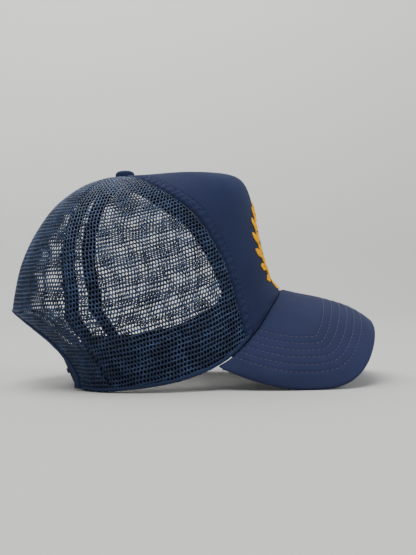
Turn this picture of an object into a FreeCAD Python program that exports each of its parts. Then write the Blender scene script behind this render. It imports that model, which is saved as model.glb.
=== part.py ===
import FreeCAD, Part
import math
import os
import Sketcher
from FreeCAD import Placement, Rotation, Vector

# Five-panel trucker mesh cap standing on a table, in millimetres.
# +X points forward over the visor, +Y to the wearer's left, +Z up; the origin is the bottom centre.
# Crown places are given by an angle round the crown, 0 at the visor and 180 at the back, and by a
# fraction of the way down a meridian, 0 at the button and 1 at the rim.

SIZES = [
    # whole crown: plan size at its widest and at its rim, measured from the middle of the visor joint
    ("centre_shift", 1.76), ("rest_lift", 0.34),
    ("crown_height", 155.8), ("crown_half_width", 82), ("crown_front", 57), ("crown_back", 136),
    ("rim_half_width", 78), ("rim_front", 65.5), ("rim_back", 98), ("apex_back", 50),
    # cloth and foam
    ("cloth_thick", 1.0), ("mesh_thick", 1.2), ("foam_thick", 3.0), ("layer_gap", 0.25),
    ("tape_thick", 0.6), ("front_tape_width", 10), ("rear_tape_width", 12),
    ("band_depth", 4.75), ("band_thick", 1.8), ("band_height", 32),
    ("arch_height", 52), ("arch_half_width", 44), ("binding_width", 6), ("binding_thick", 2.4),
    ("label_width", 26), ("label_thick", 0.6),
    ("emblem_width", 62), ("emblem_height", 64), ("emblem_ring", 13), ("emblem_middle", 103),
    # visor
    ("visor_reach", 133.7), ("visor_half_width", 80), ("visor_tip_height", 42.5),
    ("board_thick", 2.0), ("cover_thick", 0.8), ("visor_crown", 5),
    # button
    ("button_base", 156.4), ("button_radius", 7), ("button_rise", 4.2), ("button_round", 3.6),
    ("shell_radius", 5.6), ("shell_rise", 3.0), ("shell_round", 2.2), ("shell_gap", 0.2),
    ("stud_radius", 1.5), ("stud_length", 4.1), ("washer_radius", 6), ("washer_thick", 0.8),
    ("washer_height", 153.5),
    # snap straps: arcs standing in a frame that leans back with the lower crown
    ("strap_lean", 23), ("strap_radius", 150), ("strap_height", 19), ("strap_thick", 1.5),
    ("strap_gap", 0.5), ("strap_reach", 26), ("strap_root_back", 88.1), ("strap_root_side", 40),
    ("strap_root_height", 14), ("strap_corner", 5), ("strap_root_gap", 0.45),
    ("peg_radius", 1.8), ("peg_length", 3.2), ("hole_radius", 2.6), ("peg_pitch", 3.1), ("peg_count", 7),
    ("root_depth", 2.1), ("root_inner_angle", 134), ("root_outer_angle", 150.2),
    ("root_top", 24), ("root_bottom", 4),
]

# Shapes round the crown: pairs of angle in degrees and value, joined by a smooth curve.
RIM_HEIGHT = [(0, 68), (25, 58), (45, 38), (65, 19), (90, 6), (115, 1), (130, 0), (150, 2), (180, 6)]
WIDEST_HEIGHT = [(0, 78), (40, 66), (75, 52), (110, 52), (150, 56), (180, 57)]
SHOULDER = [(0, 12), (30, 8), (50, 4.2), (90, 2.5), (120, 2.3), (180, 2.2)]
LEAN_IN = [(0, 0.15), (40, 0.14), (80, 0.12), (120, 0.12), (180, 0.13)]
CREST = [(0, 0.8), (45, 0.3), (90, 0), (180, 0)]
TUCK_SHAPE = [(0, 0), (60, 0.1), (110, 0.6), (140, 1), (180, 1)]
# Seams from the button down to the rim: pairs of fraction and angle.
FRONT_SEAM = [(0, 92), (0.15, 80), (0.3, 70.5), (0.45, 60.5),
              (0.6, 53.5), (0.75, 47.5), (0.88, 45.5), (1, 49)]
REAR_SEAM = [(0, 124), (0.2, 126), (0.35, 126), (0.5, 123), (0.65, 118), (0.8, 118), (1, 119)]

PLAN_POWER = 2.25
RIM_POWER = 2.15
ARCH_POWER = 2.8
TOP_HOLE = 0.03
TAPE_START = 0.16
SIDES = {"right": -1, "left": 1}

doc = FreeCAD.newDocument("trucker_cap")
sheet = doc.addObject("Spreadsheet::Sheet", "sizes")
for row, (name, value) in enumerate(SIZES, 1):
    sheet.set(f"A{row}", name)
    sheet.set(f"B{row}", str(value))
    sheet.setAlias(f"B{row}", name)
doc.recompute()
size = {name: float(sheet.get(name)) for name, _ in SIZES}
rest_shift = Vector(size["centre_shift"], 0, size["rest_lift"])


def smooth(keys, place):
    """Value at a place along a list of (place, value) pairs, as a smooth curve flat at both ends."""
    last = len(keys) - 2
    i = min(max(sum(1 for key in keys if key[0] <= place) - 1, 0), last)
    (x0, y0), (x1, y1) = keys[i], keys[i + 1]
    run = x1 - x0
    part = min(max((place - x0) / run, 0), 1)
    slope0 = (y1 - keys[i - 1][1]) / (x1 - keys[i - 1][0]) if i > 0 else 0
    slope1 = (keys[i + 2][1] - y0) / (keys[i + 2][0] - x0) if i < last else 0
    rise = 3 * part**2 - 2 * part**3
    start_bend = part**3 - 2 * part**2 + part
    end_bend = part**3 - part**2
    return y0 * (1 - rise) + y1 * rise + run * (start_bend * slope0 + end_bend * slope1)


def oval(angle, back, front, half_width, power):
    """Point of a superellipse plan that reaches from -back to front along X."""
    turn = math.radians(angle)
    c, s = math.cos(turn), math.sin(turn)
    middle, half = (front - back) / 2, (front + back) / 2
    x = middle + half * math.copysign(abs(c) ** (2 / power), c)
    y = half_width * math.copysign(abs(s) ** (2 / power), s)
    return x, y


meridians = {}


def meridian(angle):
    """Line from the button down to the rim, as points with their distance along it."""
    angle = round(angle, 4)
    if angle in meridians:
        return meridians[angle]
    place = abs((angle + 180) % 360 - 180)
    apex, top = -size["apex_back"], size["crown_height"]
    bottom, middle = smooth(RIM_HEIGHT, place), smooth(WIDEST_HEIGHT, place)
    power, lean, crest = smooth(SHOULDER, place), smooth(LEAN_IN, place), smooth(CREST, place)
    tucked = smooth(TUCK_SHAPE, place)
    wide_x, wide_y = oval(angle, size["crown_back"], size["crown_front"],
                          size["crown_half_width"], PLAN_POWER)
    rim_x, rim_y = oval(angle, size["rim_back"], size["rim_front"], size["rim_half_width"], RIM_POWER)
    points = []
    steps = 120
    for i in range(steps + 1):
        turn = math.pi / 2 * i / steps
        height = math.cos(turn) ** (2 / power) if i < steps else 0.0
        out = (1 - lean * height) * math.sin(turn) ** (2 / power)
        swell = crest * math.sin(math.pi * min(out, 1)) ** 2 * height**2
        points.append(Vector(apex + out * (wide_x - apex), out * wide_y,
                             middle + (top - middle) * height + swell))
    for i in range(1, steps + 1):
        down = i / steps
        pull = (1 - tucked) * down**1.7 + tucked * math.sin(math.pi * down / 2)
        spread = lean * (middle - bottom) / (top - middle) * down * (1 - pull)
        x, y = wide_x + spread * (wide_x - apex), wide_y * (1 + spread)
        points.append(Vector(x + (rim_x - x) * pull, y + (rim_y - y) * pull,
                             middle - (middle - bottom) * down))
    run = [0.0]
    for before, after in zip(points, points[1:]):
        run.append(run[-1] + before.distanceToPoint(after))
    meridians[angle] = points, run
    return meridians[angle]


def meridian_length(angle):
    return meridian(angle)[1][-1]


def on_crown(angle, fraction):
    points, run = meridian(angle)
    reach = fraction * run[-1]
    low, high = 0, len(run) - 1
    while high - low > 1:
        middle = (low + high) // 2
        if run[middle] <= reach:
            low = middle
        else:
            high = middle
    part = (reach - run[low]) / (run[high] - run[low])
    return points[low] + (points[high] - points[low]) * part


def crown_point(angle, fraction, depth=0.0):
    """Point at a depth inside the crown's outer surface, or outside it where depth is negative."""
    point = on_crown(angle, fraction)
    if depth == 0:
        return point
    down = on_crown(angle, min(fraction + 0.01, 1)) - on_crown(angle, max(fraction - 0.01, 0.002))
    across = on_crown(angle + 0.8, fraction) - on_crown(angle - 0.8, fraction)
    outward = down.cross(across).normalize()
    return point - outward * depth


def aside(angle, fraction, distance):
    """Angle that lies a distance along the crown from another angle at the same fraction."""
    step = on_crown(angle + 0.5, fraction).distanceToPoint(on_crown(angle - 0.5, fraction))
    return angle + distance / step


def shell_solid(outer_rows, inner_rows):
    """Closed solid between two smooth surfaces through rows of points."""
    faces = []
    for rows in (outer_rows, inner_rows):
        surface = Part.BSplineSurface()
        surface.interpolate(rows)
        faces.append(surface.toShape())
    for outer_edge, inner_edge in zip(faces[0].Edges, faces[1].Edges):
        faces.append(Part.makeRuledSurface(outer_edge, inner_edge))
    shell = Part.Shell(faces)
    shell.sewShape()
    solid = Part.makeSolid(shell)
    if solid.Volume < 0:
        solid.reverse()
    return solid


def crown_patch(edges, fractions, depth, thick, columns=17):
    """Solid layer of the crown; edges(fraction) gives its two angles, fractions run down it."""
    rows = []
    for layer in (depth, depth + thick):
        rows.append([])
        for fraction in fractions:
            first, last = edges(fraction)
            angles = [first + (last - first) * i / (columns - 1) for i in range(columns)]
            rows[-1].append([crown_point(angle, fraction, layer) for angle in angles])
    return shell_solid(*rows)


def band_patch(first, last, top, bottom, depth, thick, columns, rows_down=9):
    """Solid layer between two distances above the rim, given as functions of the angle."""
    layers = []
    for layer in (depth, depth + thick):
        grid = []
        for j in range(rows_down):
            line = []
            for i in range(columns):
                angle = first + (last - first) * i / (columns - 1)
                above = top + (bottom - top) * j / (rows_down - 1)
                line.append(crown_point(angle, 1 - above / meridian_length(angle), layer))
            grid.append(line)
        layers.append(grid)
    return shell_solid(*layers)


def steps_between(start, end, count):
    return [start + (end - start) * i / (count - 1) for i in range(count)]


def arch_prism(grow, back=160, front=60):
    """Prism through the back of the cap with the outline of its opening, grown all round."""
    half, top = size["arch_half_width"] + grow, size["arch_height"] + grow
    points = []
    count = 40
    for i in range(count + 1):
        turn = math.pi * i / count
        c, s = math.cos(turn), math.sin(turn)
        y = half * math.copysign(abs(c) ** (2 / ARCH_POWER), c)
        points.append(Vector(-back, y, top * max(s, 0) ** (2 / ARCH_POWER)))
    curve = Part.BSplineCurve()
    curve.interpolate(points)
    drop = Vector(0, 0, -20)
    floor = Part.makePolygon([points[-1], points[-1] + drop, points[0] + drop, points[0]])
    outline = Part.Wire([curve.toShape()] + floor.Edges)
    return Part.Face(outline).extrude(Vector(back - front, 0, 0))


def add_feature(label, shape):
    feature = doc.addObject("Part::Feature", label)
    feature.Label = label
    feature.Shape = shape
    feature.Placement = Placement(rest_shift, Rotation())
    return feature


def make_front_panel():
    fractions = steps_between(TOP_HOLE, 1, 49)
    inset = 0.15

    def cloth_edges(fraction):
        edge = aside(smooth(FRONT_SEAM, fraction), fraction, -inset)
        return -edge, edge

    def foam_edges(fraction):
        edge = aside(smooth(FRONT_SEAM, fraction), fraction, -1)
        return -edge, edge

    cloth = crown_patch(cloth_edges, fractions, 0, size["cloth_thick"], 33)
    foam_depth = size["cloth_thick"] + size["layer_gap"]
    foam = crown_patch(foam_edges, steps_between(0.045, 0.985, 45), foam_depth, size["foam_thick"], 33)
    add_feature("front_panel", cloth)
    add_feature("front_foam", foam)


def make_side_mesh(side):
    def edges(fraction):
        front = aside(smooth(FRONT_SEAM, fraction), fraction, 0.15)
        rear = aside(smooth(REAR_SEAM, fraction), fraction, -0.15)
        return SIDES[side] * front, SIDES[side] * rear

    shape = crown_patch(edges, steps_between(TOP_HOLE, 1, 31), 0, size["mesh_thick"], 15)
    add_feature("side_mesh_" + side, shape)


def make_rear_mesh(side):
    def edges(fraction):
        front = aside(smooth(REAR_SEAM, fraction), fraction, 0.15)
        back = aside(180, fraction, -0.15)
        return SIDES[side] * front, SIDES[side] * back

    whole = crown_patch(edges, steps_between(TOP_HOLE, 1, 31), 0, size["mesh_thick"], 15)
    add_feature("rear_mesh_" + side, whole.cut(arch_prism(size["binding_width"] + 0.2)))


def tape_shape(seam, before, after, end):
    """Tape under a seam; seam(fraction) is its angle, before and after its reach along the crown."""
    def edges(fraction):
        return aside(seam(fraction), fraction, before), aside(seam(fraction), fraction, after)

    depth = size["mesh_thick"] + size["layer_gap"]
    return crown_patch(edges, steps_between(TAPE_START, end, 25), depth, size["tape_thick"], 5)


def make_tapes():
    wide, half = size["front_tape_width"], size["rear_tape_width"] / 2
    for side, sign in SIDES.items():
        front_line = lambda fraction: sign * smooth(FRONT_SEAM, fraction)
        front = tape_shape(front_line, 0.5 * sign, wide * sign, 0.98)
        add_feature("front_seam_tape_" + side, front)
        rear = tape_shape(lambda fraction: sign * smooth(REAR_SEAM, fraction), -half, half, 0.98)
        add_feature("rear_seam_tape_" + side, rear)
    back = tape_shape(lambda fraction: 180, -half, half, 0.695)
    add_feature("back_seam_tape", back.cut(arch_prism(size["binding_width"] + 0.2)))


def make_sweatband():
    end = 143
    shape = band_patch(-end, end, size["band_height"], 0.6, size["band_depth"], size["band_thick"], 73)
    add_feature("sweatband", shape)


def make_strap_root(side):
    """End of a snap strap, sewn in between the mesh and the sweatband."""
    inner, outer = size["root_inner_angle"], size["root_outer_angle"]
    shape = band_patch(SIDES[side] * inner, SIDES[side] * outer, size["root_top"], size["root_bottom"],
                       size["root_depth"], size["strap_thick"], 9)
    add_feature("strap_root_" + side, shape)


def make_binding():
    start = 132
    ring = arch_prism(size["binding_width"]).cut(arch_prism(0))
    outside = size["mesh_thick"] / 2 - size["binding_thick"] / 2
    strip = crown_patch(lambda fraction: (start, 360 - start), steps_between(0.55, 1, 31),
                        outside, size["binding_thick"], 33)
    add_feature("opening_binding", strip.common(ring))


def make_label():
    depth = size["mesh_thick"] + 2 * size["layer_gap"] + size["tape_thick"] + 1.0

    def edges(fraction):
        half = size["label_width"] / 2
        return aside(180, fraction, -half), aside(180, fraction, half)

    shape = crown_patch(edges, steps_between(0.7, 0.8, 7), depth, size["label_thick"], 7)
    add_feature("inner_label", shape)


def make_emblem():
    """Raised embroidery ring on the front panel."""
    plate = crown_patch(lambda fraction: (-36, 36), steps_between(0.3, 0.95, 33), -1.4, 1.1, 25)

    def oval_rod(shrink):
        ring = Part.Ellipse(Vector(0, 0, 0), size["emblem_height"] / 2 - shrink,
                            size["emblem_width"] / 2 - shrink)
        face = Part.Face(Part.Wire(ring.toShape()))
        rod = face.extrude(Vector(0, 0, 60))
        rod.Placement = Placement(Vector(75, 0, size["emblem_middle"]), Rotation(Vector(0, 1, 0), -90))
        return rod

    ring = oval_rod(0).cut(oval_rod(size["emblem_ring"]))
    add_feature("emblem", plate.common(ring))


# Visor: a curved sheet between the crown's rim and its own outline, swelling upwards between them.

def spread_evenly(points, count):
    run = [0.0]
    for before, after in zip(points, points[1:]):
        run.append(run[-1] + before.distanceToPoint(after))
    result = []
    k = 0
    for i in range(count):
        reach = run[-1] * i / (count - 1)
        while k < len(run) - 2 and run[k + 1] < reach:
            k += 1
        part = (reach - run[k]) / (run[k + 1] - run[k])
        result.append(points[k] + (points[k + 1] - points[k]) * part)
    return result


def visor_outline(count):
    """Outer edge from the wearer's right to the left."""
    widest, end_x, end_y, end_height = 76, 20, size["rim_half_width"] - 4.5, 14.6
    half, tip = size["visor_half_width"], size["visor_tip_height"]
    side = []
    for i in range(60):
        part = i / 60
        y = end_y + (half - end_y) * (1 - (1 - part) ** 2)
        side.append(Vector(end_x + (widest - end_x) * part, y, end_height * (1 - part) ** 1.8))
    for i in range(201):
        turn = math.pi / 2 * (1 - i / 200)
        x = widest + (size["visor_reach"] - widest) * math.cos(turn) ** (2 / 3.2)
        y = half * max(math.sin(turn), 0) ** (2 / 3.2)
        side.append(Vector(x, y, tip * (1 - (y / half) ** 2.29)))
    left = list(reversed(side))
    right = [Vector(point.x, -point.y, point.z) for point in side]
    return spread_evenly(right + left[1:], count)


def visor_joint(count):
    """Inner edge, just outside the crown's rim."""
    end = 67
    rim = [crown_point(angle, 1, -0.3) for angle in steps_between(-end, end, 135)]
    return spread_evenly(rim, count)


def visor_rows(depth, rows=17, columns=57, inner=0.0, outer=1.0):
    """Rows of points at a depth under the visor's top, from the crown to the edge."""
    joint, edge = visor_joint(columns), visor_outline(columns)

    def flat(i, across):
        return joint[i] + (edge[i] - joint[i]) * across

    def swell(across):
        return across**1.3 * (1 - across**2.2)

    most = max(swell(k / 50) for k in range(51))

    def top(i, across):
        i = min(max(i, 0), columns - 1)
        beside = flat(min(i + 1, columns - 1), across) - flat(max(i - 1, 0), across)
        up = (edge[i] - joint[i]).cross(beside).normalize()
        place = 2 * i / (columns - 1) - 1
        height = size["visor_crown"] * (1 - 0.45 * place**2) * (1 - place**8)
        return flat(i, across) + up * height * swell(across) / most

    result = []
    for across in steps_between(inner, outer, rows):
        line = []
        for i in range(columns):
            out = top(i, min(across + 0.02, 1)) - top(i, max(across - 0.02, 0))
            beside = top(i + 1, across) - top(i - 1, across)
            up = out.cross(beside).normalize()
            line.append(top(i, across) - up * depth)
        result.append(line)
    return result


def make_visor():
    layers = [("visor_top_cover", size["cover_thick"]), ("visor_board", size["board_thick"]),
              ("visor_bottom_cover", size["cover_thick"])]
    depth = 0.0
    for label, thick in layers:
        add_feature(label, shell_solid(visor_rows(depth), visor_rows(depth + thick)))
        depth += thick + 0.1


# Button and snap straps: turned and moulded bodies with sketches.

def new_body(label, placement):
    body = doc.addObject("PartDesign::Body", label)
    body.Label = label
    body.Placement = Placement(rest_shift, Rotation()).multiply(placement)
    return body


def origin_item(body, role):
    return next(item for item in body.Origin.OriginFeatures if item.Role == role)


def bind(item, **cells):
    """Bind properties to expressions of the sheet's cells."""
    for name, text in cells.items():
        item.setExpression(name, text)


def disc(body, kind, name, radius, height, offset=None):
    """Added or removed cylinder on the body's ground plane."""
    item = body.newObject("PartDesign::" + kind, name)
    item.AttachmentSupport = [(origin_item(body, "XY_Plane"), "")]
    item.MapMode = "FlatFace"
    if offset:
        item.AttachmentOffset = offset
    bind(item, Radius=radius, Height=height)
    return item


def fillet(body, base, chosen, radius):
    doc.recompute()
    names = [f"Edge{i}" for i, edge in enumerate(base.Shape.Edges, 1) if chosen(edge)]
    item = body.newObject("PartDesign::Fillet", body.Label + "_rounding")
    item.Base = (base, names)
    bind(item, Radius=radius)
    return item


def make_button():
    apex = Vector(-size["apex_back"], 0, size["button_base"])
    cover = new_body("button_cover", Placement(apex, Rotation()))
    dome = disc(cover, "AdditiveCylinder", "cover_dome", "sizes.button_radius", "sizes.button_rise")
    rise = size["button_rise"]
    fillet(cover, dome, lambda edge: edge.BoundBox.ZMin > rise - 0.1, "sizes.button_round")
    disc(cover, "SubtractiveCylinder", "cover_hollow", "sizes.shell_radius + sizes.shell_gap",
         "sizes.shell_rise + sizes.shell_gap")

    shell = new_body("button_shell", Placement(apex, Rotation()))
    dome = disc(shell, "AdditiveCylinder", "shell_dome", "sizes.shell_radius", "sizes.shell_rise")
    rise = size["shell_rise"]
    fillet(shell, dome, lambda edge: edge.BoundBox.ZMin > rise - 0.1, "sizes.shell_round")

    stud_base = apex - Vector(0, 0, size["stud_length"])
    stud = new_body("button_stud", Placement(stud_base, Rotation()))
    disc(stud, "AdditiveCylinder", "stud_shank", "sizes.stud_radius", "sizes.stud_length")

    washer_base = Vector(-size["apex_back"], 0, size["washer_height"])
    washer = new_body("button_washer", Placement(washer_base, Rotation()))
    disc(washer, "AdditiveCylinder", "washer_disc", "sizes.washer_radius", "sizes.washer_thick")
    disc(washer, "SubtractiveCylinder", "washer_hole", "sizes.stud_radius + 0.1", "sizes.washer_thick")


def strap_turn(side):
    """Signed angle from the middle of the arc to the middle of a strap."""
    root_angle = math.degrees(math.asin(size["strap_root_side"] / size["strap_radius"]))
    return SIDES[side] * (root_angle - size["strap_root_gap"] - size["strap_reach"] / 2)


def strap_frame(side):
    """Place of a strap's arc: its centre line stands on the lean of the lower crown."""
    lean = math.radians(size["strap_lean"])
    backward = Vector(-math.cos(lean), 0, -math.sin(lean))
    upward = Vector(-math.sin(lean), 0, math.cos(lean))
    root_angle = math.asin(size["strap_root_side"] / size["strap_radius"])
    roots = Vector(-size["strap_root_back"], 0, size["strap_root_height"])
    centre = roots - backward * size["strap_radius"] * math.cos(root_angle)
    base = centre - upward * size["strap_height"] / 2
    facing_back = Rotation(Vector(0, 1, 0), -size["strap_lean"]).multiply(Rotation(Vector(0, 0, 1), 180))
    return Placement(base, facing_back.multiply(Rotation(Vector(0, 0, 1), -strap_turn(side))))


def strap_strip(body, inner, outer):
    """Curved strip between two radii, as expressions, centred on the body's X axis."""
    sketch = body.newObject("Sketcher::SketchObject", body.Label + "_section")
    sketch.AttachmentSupport = [(origin_item(body, "XZ_Plane"), "")]
    sketch.MapMode = "FlatFace"
    low, high = sheet.evalExpression(inner), sheet.evalExpression(outer)
    tall = size["strap_height"]
    corners = [Vector(low, 0, 0), Vector(high, 0, 0), Vector(high, tall, 0), Vector(low, tall, 0)]
    for i in range(4):
        sketch.addGeometry(Part.LineSegment(corners[i], corners[(i + 1) % 4]))
    for i in range(4):
        sketch.addConstraint(Sketcher.Constraint("Coincident", i, 2, (i + 1) % 4, 1))
        sketch.addConstraint(Sketcher.Constraint("Vertical" if i % 2 else "Horizontal", i))
    sketch.addConstraint(Sketcher.Constraint("PointOnObject", 0, 1, -1))
    named = [("inner", "DistanceX", 0, 1, inner, low), ("outer", "DistanceX", 0, 2, outer, high),
             ("tall", "DistanceY", 2, 1, "sizes.strap_height", tall)]
    for name, kind, line, end, text, value in named:
        k = sketch.addConstraint(Sketcher.Constraint(kind, -1, 1, line, end, value))
        sketch.renameConstraint(k, name)
        sketch.setExpression("Constraints." + name, text)
    strip = body.newObject("PartDesign::Revolution", body.Label + "_strip")
    strip.Profile = sketch
    strip.ReferenceAxis = (sketch, ["V_Axis"])
    strip.Midplane = True
    bind(strip, Angle="sizes.strap_reach")
    return strip


def snap_row(body, kind, name, radius, height, start, side):
    """Row of pegs or holes along the strap, spaced by the pitch on both sides of the middle."""
    turn = strap_turn(side)
    first = -size["peg_pitch"] * (size["peg_count"] - 1) / 2 + turn
    out = Vector(math.cos(math.radians(first)), math.sin(math.radians(first)), 0)
    place = Placement(out * start + Vector(0, 0, size["strap_height"] / 2), Rotation(Vector(0, 0, 1), out))
    item = disc(body, kind, name, radius, height, place)
    pattern = body.newObject("PartDesign::PolarPattern", name + "_row")
    pattern.Originals = [item]
    pattern.Axis = (origin_item(body, "Z_Axis"), [""])
    bind(pattern, Angle="sizes.peg_pitch * (sizes.peg_count - 1)", Occurrences="sizes.peg_count")
    body.Tip = pattern


def make_straps():
    radius, half_gap = "sizes.strap_radius", "sizes.strap_gap / 2"
    half_reach = math.radians(size["strap_reach"] / 2)

    def at_tip(toward):
        """Short radial edges at the strap's free end, on its local +Y or -Y side."""
        limit = size["strap_radius"] * math.sin(half_reach) - 2
        return lambda edge: edge.Length < 2 and edge.CenterOfMass.y * toward > limit

    holes = new_body("snap_strap_holes", strap_frame("left"))
    strip = strap_strip(holes, f"{radius} + {half_gap}", f"{radius} + {half_gap} + sizes.strap_thick")
    fillet(holes, strip, at_tip(1), "sizes.strap_corner")
    start = size["strap_radius"] - 2
    snap_row(holes, "SubtractiveCylinder", "snap_hole", "sizes.hole_radius", "sizes.strap_thick + 4",
             start, "left")

    pegs = new_body("snap_strap_pegs", strap_frame("right"))
    strip = strap_strip(pegs, f"{radius} - {half_gap} - sizes.strap_thick", f"{radius} - {half_gap}")
    fillet(pegs, strip, at_tip(-1), "sizes.strap_corner")
    root = 0.5
    start = size["strap_radius"] - size["strap_gap"] / 2 - root
    snap_row(pegs, "AdditiveCylinder", "snap_peg", "sizes.peg_radius", f"sizes.peg_length + {root}",
             start, "right")


def check_and_export():
    doc.recompute()
    for item in doc.Objects:
        if "Invalid" in item.State or "Error" in item.State:
            raise RuntimeError(f"{item.Label} failed: {item.State}")
    os.makedirs("parts", exist_ok=True)
    whole = FreeCAD.BoundBox()
    for item in doc.Objects:
        if item.isDerivedFrom("PartDesign::Body") or item.TypeId == "Part::Feature":
            shape = item.Shape
            if shape.isNull() or not shape.isValid() or shape.Volume <= 0:
                raise RuntimeError(f"{item.Label} has no valid shape")
            shape.exportStep(f"parts/{item.Label}.step")
            whole.add(shape.BoundBox)
            print(f"{item.Label:24s} solids {len(shape.Solids)} volume {shape.Volume:9.1f}")
    print("box", whole)


make_front_panel()
for side_name in SIDES:
    make_side_mesh(side_name)
    make_rear_mesh(side_name)
    make_strap_root(side_name)
make_tapes()
make_sweatband()
make_binding()
make_label()
make_emblem()
make_visor()
make_button()
make_straps()
check_and_export()
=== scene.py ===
import math

import bmesh
import bpy
import numpy as np
from mathutils import Matrix, Vector


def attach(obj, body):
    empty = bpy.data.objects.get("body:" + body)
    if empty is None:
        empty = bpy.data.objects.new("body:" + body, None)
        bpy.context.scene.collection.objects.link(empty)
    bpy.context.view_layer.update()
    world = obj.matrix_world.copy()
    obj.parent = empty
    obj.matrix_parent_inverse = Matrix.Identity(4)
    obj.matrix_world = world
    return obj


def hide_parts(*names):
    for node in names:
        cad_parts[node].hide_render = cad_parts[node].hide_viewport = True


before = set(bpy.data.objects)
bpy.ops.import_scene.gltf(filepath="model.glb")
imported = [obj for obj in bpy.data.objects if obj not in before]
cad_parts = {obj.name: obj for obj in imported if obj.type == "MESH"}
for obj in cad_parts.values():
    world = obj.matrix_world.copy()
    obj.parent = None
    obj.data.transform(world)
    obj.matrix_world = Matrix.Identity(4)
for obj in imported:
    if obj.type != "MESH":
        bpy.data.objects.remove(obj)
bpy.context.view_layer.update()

# A five-panel trucker mesh cap. The crown's shape is the same formula as the CAD model's, in
# millimetres, turned into metres where points are made. Places on the crown are an angle round it
# (0 at the visor, 180 at the back, + to the wearer's left), a fraction down from the button to the
# rim, and a depth inside its outer surface.

MM = 0.001
SHIFT = np.array([1.76, 0.0, 0.34])

CROWN = dict(height=155.8, half_width=82.0, front=57.0, back=136.0)
RIM = dict(half_width=78.0, front=65.5, back=98.0)
APEX_BACK = 50.0
PLAN_POWER, RIM_POWER, ARCH_POWER = 2.25, 2.15, 2.8
RIM_HEIGHT = [(0, 68), (25, 58), (45, 38), (65, 19), (90, 6), (115, 1), (130, 0), (150, 2), (180, 6)]
WIDEST_HEIGHT = [(0, 78), (40, 66), (75, 52), (110, 52), (150, 56), (180, 57)]
SHOULDER = [(0, 12), (30, 8), (50, 4.2), (90, 2.5), (120, 2.3), (180, 2.2)]
LEAN_IN = [(0, 0.15), (40, 0.14), (80, 0.12), (120, 0.12), (180, 0.13)]
CREST = [(0, 0.8), (45, 0.3), (90, 0), (180, 0)]
TUCK_SHAPE = [(0, 0), (60, 0.1), (110, 0.6), (140, 1), (180, 1)]
FRONT_SEAM = [(0, 92), (0.15, 80), (0.3, 70.5), (0.45, 60.5), (0.6, 53.5), (0.75, 47.5), (0.88, 45.5),
              (1, 49)]
REAR_SEAM = [(0, 124), (0.2, 126), (0.35, 126), (0.5, 123), (0.65, 118), (0.8, 118), (1, 119)]
ARCH_HEIGHT, ARCH_HALF_WIDTH, BINDING_WIDTH = 52.0, 44.0, 6.0
SIDES = {"right": -1, "left": 1}


# ---------------------------------------------------------------- the crown's surface

def smooth(keys, place):
    """Smooth curve through (place, value) pairs, flat at both ends."""
    x = np.array([key[0] for key in keys], float)
    y = np.array([key[1] for key in keys], float)
    place = np.asarray(place, float)
    i = np.clip(np.searchsorted(x, place, side="right") - 1, 0, len(x) - 2)
    run = x[i + 1] - x[i]
    t = np.clip((place - x[i]) / run, 0, 1)
    slope = np.zeros(len(x))
    slope[1:-1] = (y[2:] - y[:-2]) / (x[2:] - x[:-2])
    rise = 3 * t**2 - 2 * t**3
    bend = run * ((t**3 - 2 * t**2 + t) * slope[i] + (t**3 - t**2) * slope[i + 1])
    return y[i] * (1 - rise) + y[i + 1] * rise + bend


def ease(t):
    t = np.clip(t, 0, 1)
    return t * t * (3 - 2 * t)


def oval(turn, back, front, half_width, power):
    c, s = np.cos(turn), np.sin(turn)
    middle, half = (front - back) / 2, (front + back) / 2
    x = middle + half * np.sign(c) * np.abs(c) ** (2 / power)
    return x, half_width * np.sign(s) * np.abs(s) ** (2 / power)


STEP = 0.5
TABLE_ANGLES = np.arange(-240, 240 + STEP / 2, STEP)
TABLE_FRACTIONS = 401


def crown_table():
    """Points, outward directions and lengths of the meridians at TABLE_ANGLES."""
    place = np.abs((TABLE_ANGLES + 180) % 360 - 180)[:, None]
    turn = np.radians(TABLE_ANGLES)[:, None]
    apex, top = -APEX_BACK, CROWN["height"]
    bottom, middle = smooth(RIM_HEIGHT, place), smooth(WIDEST_HEIGHT, place)
    power, lean = smooth(SHOULDER, place), smooth(LEAN_IN, place)
    crest, tucked = smooth(CREST, place), smooth(TUCK_SHAPE, place)
    wide_x, wide_y = oval(turn, CROWN["back"], CROWN["front"], CROWN["half_width"], PLAN_POWER)
    rim_x, rim_y = oval(turn, RIM["back"], RIM["front"], RIM["half_width"], RIM_POWER)
    down = np.linspace(0, math.pi / 2, 241)[None, :]
    height = np.maximum(np.cos(down), 0) ** (2 / power)
    height[:, -1] = 0
    out = (1 - lean * height) * np.sin(down) ** (2 / power)
    swell = crest * np.sin(math.pi * np.clip(out, 0, 1)) ** 2 * height**2
    upper = np.stack([apex + out * (wide_x - apex), out * wide_y,
                      middle + (top - middle) * height + swell], 2)
    part = np.linspace(0, 1, 241)[None, 1:]
    pull = (1 - tucked) * part**1.7 + tucked * np.sin(math.pi * part / 2)
    spread = lean * (middle - bottom) / (top - middle) * part * (1 - pull)
    x, y = wide_x + spread * (wide_x - apex), wide_y * (1 + spread)
    lower = np.stack([x + (rim_x - x) * pull, y + (rim_y - y) * pull, middle - (middle - bottom) * part], 2)
    lines = np.concatenate([upper, lower], 1)
    run = np.linalg.norm(np.diff(lines, axis=1), axis=2).cumsum(1)
    run = np.concatenate([np.zeros((len(run), 1)), run], 1)
    points = np.empty((len(lines), TABLE_FRACTIONS, 3))
    for i, line in enumerate(lines):
        even = np.linspace(0, run[i, -1], TABLE_FRACTIONS)
        for k in range(3):
            points[i, :, k] = np.interp(even, run[i], line[:, k])
    across = np.gradient(points, axis=0)
    along = np.gradient(points, axis=1)
    outward = np.cross(along, across)
    outward[:, 0] = (0, 0, 1)
    outward /= np.linalg.norm(outward, axis=2)[..., None]
    return points, outward, run[:, -1]


CROWN_POINTS, CROWN_OUT, CROWN_LENGTH = crown_table()


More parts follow.
